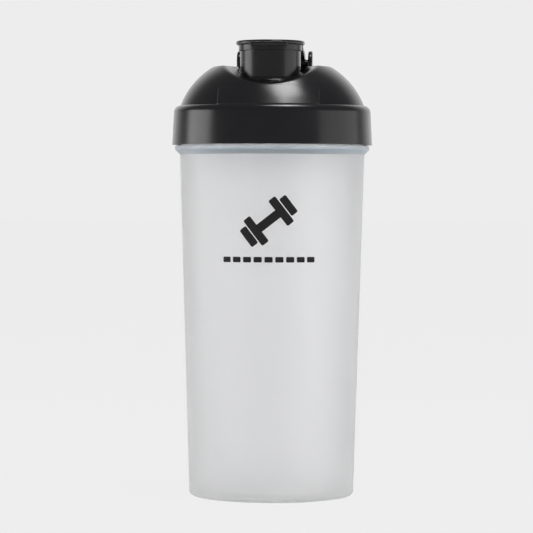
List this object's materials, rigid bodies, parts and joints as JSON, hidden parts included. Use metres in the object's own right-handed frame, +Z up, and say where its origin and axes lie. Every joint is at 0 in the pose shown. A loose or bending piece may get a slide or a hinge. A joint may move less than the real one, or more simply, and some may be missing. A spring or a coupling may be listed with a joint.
{
  "type": "protein shaker bottle",
  "caption": "Tall tapered frosted shaker cup with a black domed screw lid, a flip cap over its drinking spout and a snap-in mixing grid.",
  "frame": {"origin": "centre of the cup's base, on the surface it stands on", "axes": "+Z up the bottle's axis, -Y to the front, where the spout and the print are, +X to the right as seen from the front"},
  "size_m": [0.0973, 0.0972, 0.22],
  "materials": {
    "frosted_plastic": "frosted translucent polypropylene",
    "black_plastic": "satin black polypropylene",
    "grid_plastic": "plain moulded black polypropylene",
    "black_print": "screen-printed ink"
  },
  "bodies": {
    "cup": {"cup": "frosted_plastic"},
    "grid": {"mixing_grid": "grid_plastic"},
    "lid": {"lid": "black_plastic"},
    "flip_cap": {"flip_cap": "black_plastic"}
  },
  "joints": [
    {"name": "lid_lift", "type": "slide", "parent": "cup", "child": "grid", "axis": [0, 0, 1], "range_m": [0, 0.018]},
    {"name": "lid_turn", "type": "hinge", "parent": "grid", "child": "lid", "pos_m": [0, 0, 0.18], "axis": [0, 0, 1], "range_deg": [0, 1080]},
    {"name": "cap_open", "type": "hinge", "parent": "lid", "child": "flip_cap", "pos_m": [0, 0.025, 0.211], "axis": [-1, 0, 0], "range_deg": [0, 150]}
  ],
  "couplings": [
    {"joint": "lid_lift", "follows": "lid_turn", "m_per_rad": 0.00095492}
  ]
}
